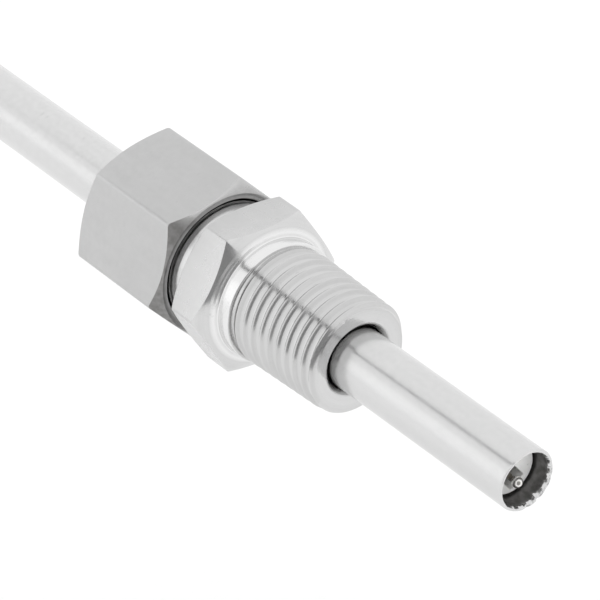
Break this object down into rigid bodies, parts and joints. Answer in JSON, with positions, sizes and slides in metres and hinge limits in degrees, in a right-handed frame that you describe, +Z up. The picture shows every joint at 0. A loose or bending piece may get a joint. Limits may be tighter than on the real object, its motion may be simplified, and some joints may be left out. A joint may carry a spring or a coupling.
{
  "type": "thermocouple probe",
  "caption": "Straight metal-sheathed thermocouple probe with an open hot tip, held in an adjustable compression fitting with a tapered pipe thread.",
  "frame": {"origin": "on the probe's axis, at the shoulder where the process thread leaves the body's hexagon", "axes": "+X along the probe towards its hot tip, +Z up and square to one flat of the body's hexagon, +Y completes the right-handed frame"},
  "size_m": [0.1343, 0.0192, 0.0188],
  "materials": {
    "body_steel": "bright turned stainless steel",
    "nut_steel": "satin stainless steel",
    "ferrule_steel": "turned stainless steel",
    "back_ferrule_steel": "turned stainless steel",
    "sheath_steel": "drawn stainless tube",
    "sleeve_steel": "drawn stainless tube, crimped",
    "alumina": "fired, unglazed",
    "tip_alumina": "fired, unglazed",
    "cement": "cast, matte",
    "positive_alloy": "drawn nickel-chromium wire",
    "negative_alloy": "drawn nickel-aluminium wire",
    "bead_alloy": "welded, bright",
    "tinned_copper": "tin plated",
    "glass_sleeving": "braided glass, varnished",
    "silicone": "moulded, matte"
  },
  "bodies": {
    "fitting": {"fitting_body": "body_steel"},
    "nut_carriage": {"back_ferrule": "back_ferrule_steel"},
    "nut": {"compression_nut": "nut_steel"},
    "grip": {"front_ferrule": "ferrule_steel"},
    "probe": {"sheath_tube": "sheath_steel", "transition_sleeve": "sleeve_steel", "cable_inlet": "silicone", "tip_disc": "tip_alumina", "junction_bead": "bead_alloy", "positive_wire": "positive_alloy", "negative_wire": "negative_alloy", "positive_splice": "tinned_copper", "negative_splice": "tinned_copper", "positive_sleeving": "glass_sleeving", "negative_sleeving": "glass_sleeving", "rear_seal": "cement", "insulator_1": "alumina", "insulator_2": "alumina", "insulator_3": "alumina", "insulator_4": "alumina"}
  },
  "joints": [
    {"name": "nut_travel", "type": "slide", "parent": "fitting", "child": "nut_carriage", "axis": [-1, 0, 0], "range_m": [0, 0.0075]},
    {"name": "nut_turn", "type": "hinge", "parent": "nut_carriage", "child": "nut", "pos_m": [-0.0074, 0, 0], "axis": [-1, 0, 0], "range_deg": [0, 1800]},
    {"name": "probe_turn", "type": "hinge", "parent": "fitting", "child": "grip", "pos_m": [0, 0, 0], "axis": [1, 0, 0], "continuous": true},
    {"name": "probe_insertion", "type": "slide", "parent": "grip", "child": "probe", "axis": [1, 0, 0], "range_m": [-0.025, 0.03]}
  ],
  "couplings": [
    {"joint": "nut_travel", "follows": "nut_turn", "m_per_rad": 0.00023873}
  ]
}
